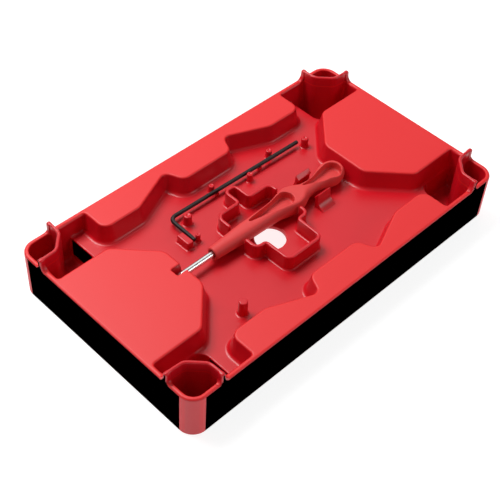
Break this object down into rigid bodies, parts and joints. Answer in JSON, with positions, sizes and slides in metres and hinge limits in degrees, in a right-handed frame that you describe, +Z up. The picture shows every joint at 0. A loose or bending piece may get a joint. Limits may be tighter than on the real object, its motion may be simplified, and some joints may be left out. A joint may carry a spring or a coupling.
{
  "type": "tool tray with hex key and driver",
  "caption": "Shallow moulded workshop tray with raised platforms, corner wells, a shaped nest and pegs, holding an L hex key and a small bit driver.",
  "frame": {"origin": "centre of the rest face on the table", "axes": "+X along the long side towards the end with no slot, +Y to the back where the hex key lies, +Z up"},
  "size_m": [0.205, 0.117, 0.031],
  "materials": {
    "tray": "satin moulded, glossy inside the recess",
    "handle": "fine matt texture",
    "key_steel": "black oxide, satin",
    "bit_steel": "bright, ground"
  },
  "bodies": {
    "tray": {"outer_wall": "tray", "main_floor": "tray", "platform_left": "tray", "platform_right": "tray", "platform_front": "tray", "platform_back": "tray", "well_front_left": "tray", "well_front_right": "tray", "well_back_left": "tray", "well_back_right": "tray", "rib_front_left": "tray", "rib_front_right": "tray", "rib_back_left": "tray", "rib_back_right": "tray", "nest_wall_back": "tray", "nest_wall_front": "tray", "locating_peg": "tray", "key_pegs": "tray", "key_stop": "tray", "key_saddles": "tray"},
    "hook_back": {"hook_back": "tray"},
    "hook_front": {"hook_front": "tray"},
    "hex_key": {"hex_key": "key_steel"},
    "driver": {"driver_handle": "handle", "driver_bit": "bit_steel"}
  },
  "joints": [
    {"name": "driver_lift", "type": "slide", "parent": "tray", "child": "driver", "axis": [0, 0, 1], "range_m": [0, 0.06]},
    {"name": "key_lift", "type": "slide", "parent": "tray", "child": "hex_key", "axis": [0, 0, 1], "range_m": [0, 0.05]},
    {"name": "hook_back_flex", "type": "hinge", "parent": "tray", "child": "hook_back", "pos_m": [0.0327, 0.0106, 0.0153], "axis": [-1, 0, 0], "range_deg": [0, 5], "stiffness_Nm_per_rad": 0.5},
    {"name": "hook_front_flex", "type": "hinge", "parent": "tray", "child": "hook_front", "pos_m": [0.0305, -0.0132, 0.0153], "axis": [1, 0, 0], "range_deg": [0, 5], "stiffness_Nm_per_rad": 0.5}
  ]
}
